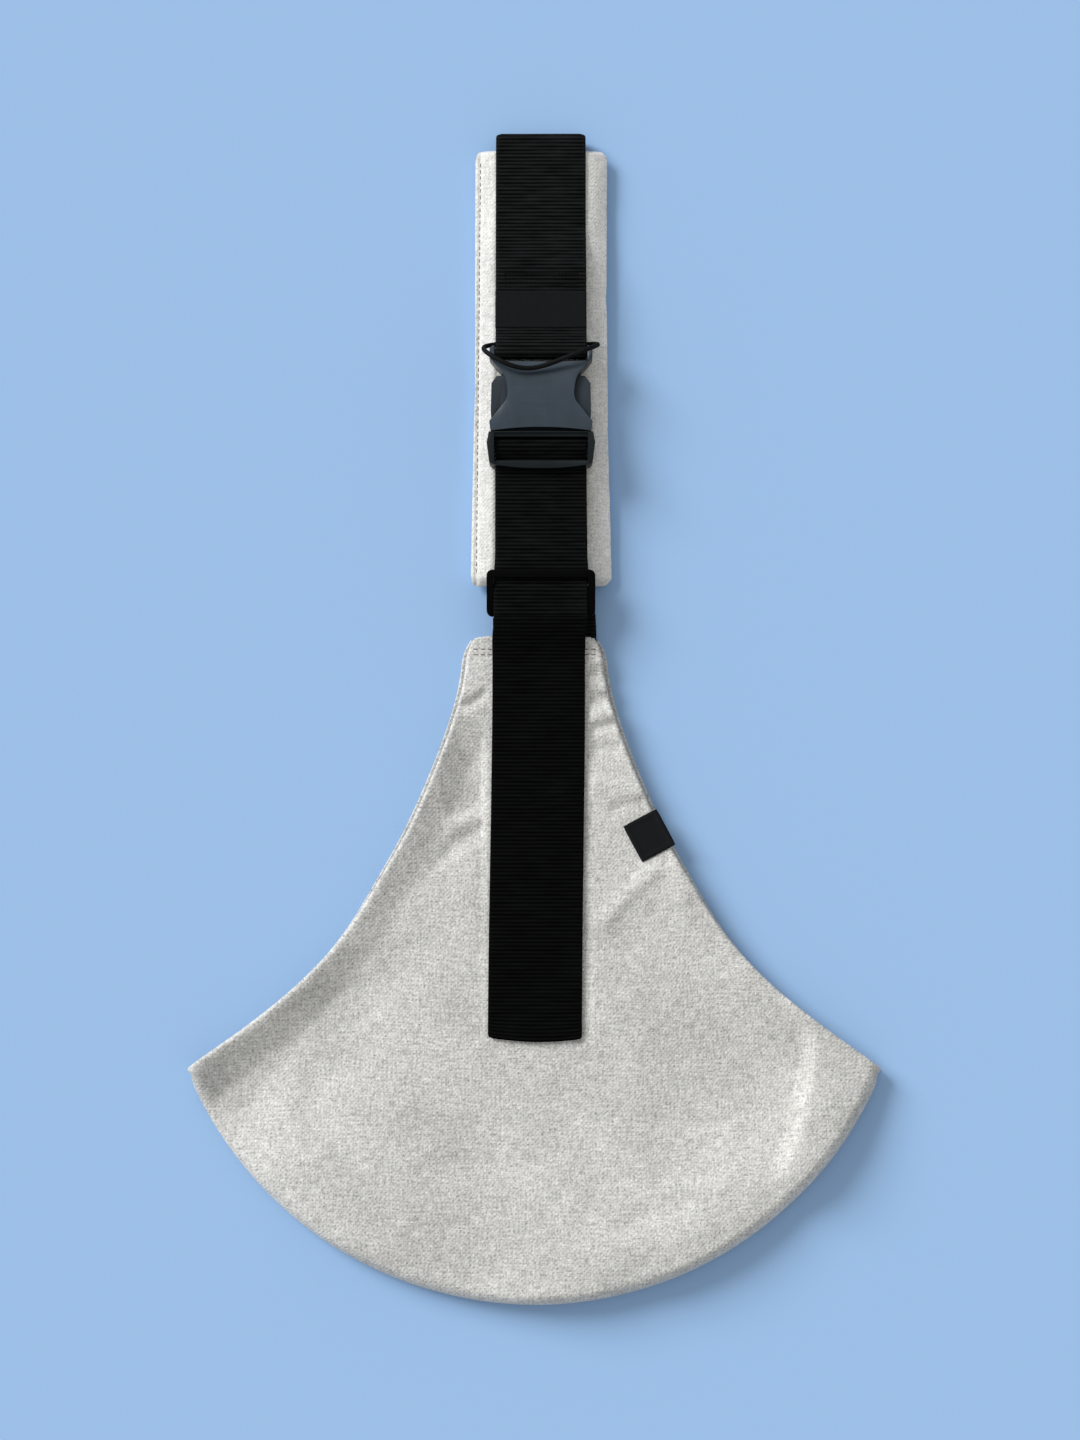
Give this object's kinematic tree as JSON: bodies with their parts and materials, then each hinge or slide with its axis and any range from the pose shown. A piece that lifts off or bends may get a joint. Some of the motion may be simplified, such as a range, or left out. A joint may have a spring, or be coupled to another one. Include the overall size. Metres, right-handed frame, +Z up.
{
  "type": "soft baby carrier",
  "caption": "Cross-body sling carrier: canvas seat with round bottom, padded shoulder strap, wide webbing, side-release buckle, slider and free tail, lying flat.",
  "frame": {"origin": "bottom centre of the bounding box, on the floor", "axes": "+Z up from the floor, +Y along the strap towards the shoulder fold, +X to the right across the strap"},
  "size_m": [0.3686, 0.641, 0.027],
  "materials": {
    "canvas": "plain-weave off-white cotton canvas",
    "webbing": "black ribbed nylon webbing",
    "thread_light": "off-white sewing thread",
    "thread_dark": "black sewing thread",
    "label_dark": "black woven satin, bare",
    "foam": "closed-cell foam, hidden",
    "plastic_dark": "moulded dark grey acetal",
    "elastic": "black braided elastic cord"
  },
  "bodies": {
    "carrier": {"seat_back_panel": "canvas", "seat_front_panel": "canvas", "front_neck_hem": "canvas", "back_neck_hem": "canvas", "pad_cover": "canvas", "pad_seam_flange": "canvas", "pad_foam": "foam", "neck_hem_stitches": "thread_light", "pad_seam_stitches": "thread_light", "loop_box_stitches": "thread_dark", "shoulder_webbing": "webbing", "load_webbing_root": "webbing", "webbing_label": "label_dark", "side_label": "label_dark", "buckle_female": "plastic_dark"},
    "front_strap": {"load_webbing": "webbing", "buckle_male": "plastic_dark"},
    "arm_left": {"buckle_arm_left": "plastic_dark"},
    "arm_right": {"buckle_arm_right": "plastic_dark"},
    "slider": {"slider": "plastic_dark"},
    "tail": {"tail_webbing": "webbing"},
    "keeper": {"elastic_keeper": "elastic"}
  },
  "joints": [
    {"name": "buckle_release", "type": "slide", "parent": "carrier", "child": "front_strap", "axis": [0, -1, 0], "range_m": [0, 0.034], "deforming": ["load_webbing_root", "buckle_arm_left", "buckle_arm_right"]},
    {"name": "arm_left_press", "type": "hinge", "parent": "front_strap", "child": "arm_left", "pos_m": [-0.017, 0.1514, 0.0165], "axis": [0, 0, -1], "range_deg": [0, 10], "stiffness_Nm_per_rad": 0.8},
    {"name": "arm_right_press", "type": "hinge", "parent": "front_strap", "child": "arm_right", "pos_m": [0.024, 0.1514, 0.0165], "axis": [0, 0, 1], "range_deg": [0, 10], "stiffness_Nm_per_rad": 0.8},
    {"name": "slider_travel", "type": "slide", "parent": "front_strap", "child": "slider", "axis": [0, 1, 0], "range_m": [0, 0.02]},
    {"name": "tail_lift", "type": "hinge", "parent": "front_strap", "child": "tail", "pos_m": [0.0035, 0.0449, 0.0162], "axis": [-1, 0, 0], "range_deg": [0, 100]},
    {"name": "keeper_travel", "type": "slide", "parent": "carrier", "child": "keeper", "axis": [0, 1, 0], "range_m": [0, 0.02]}
  ]
}
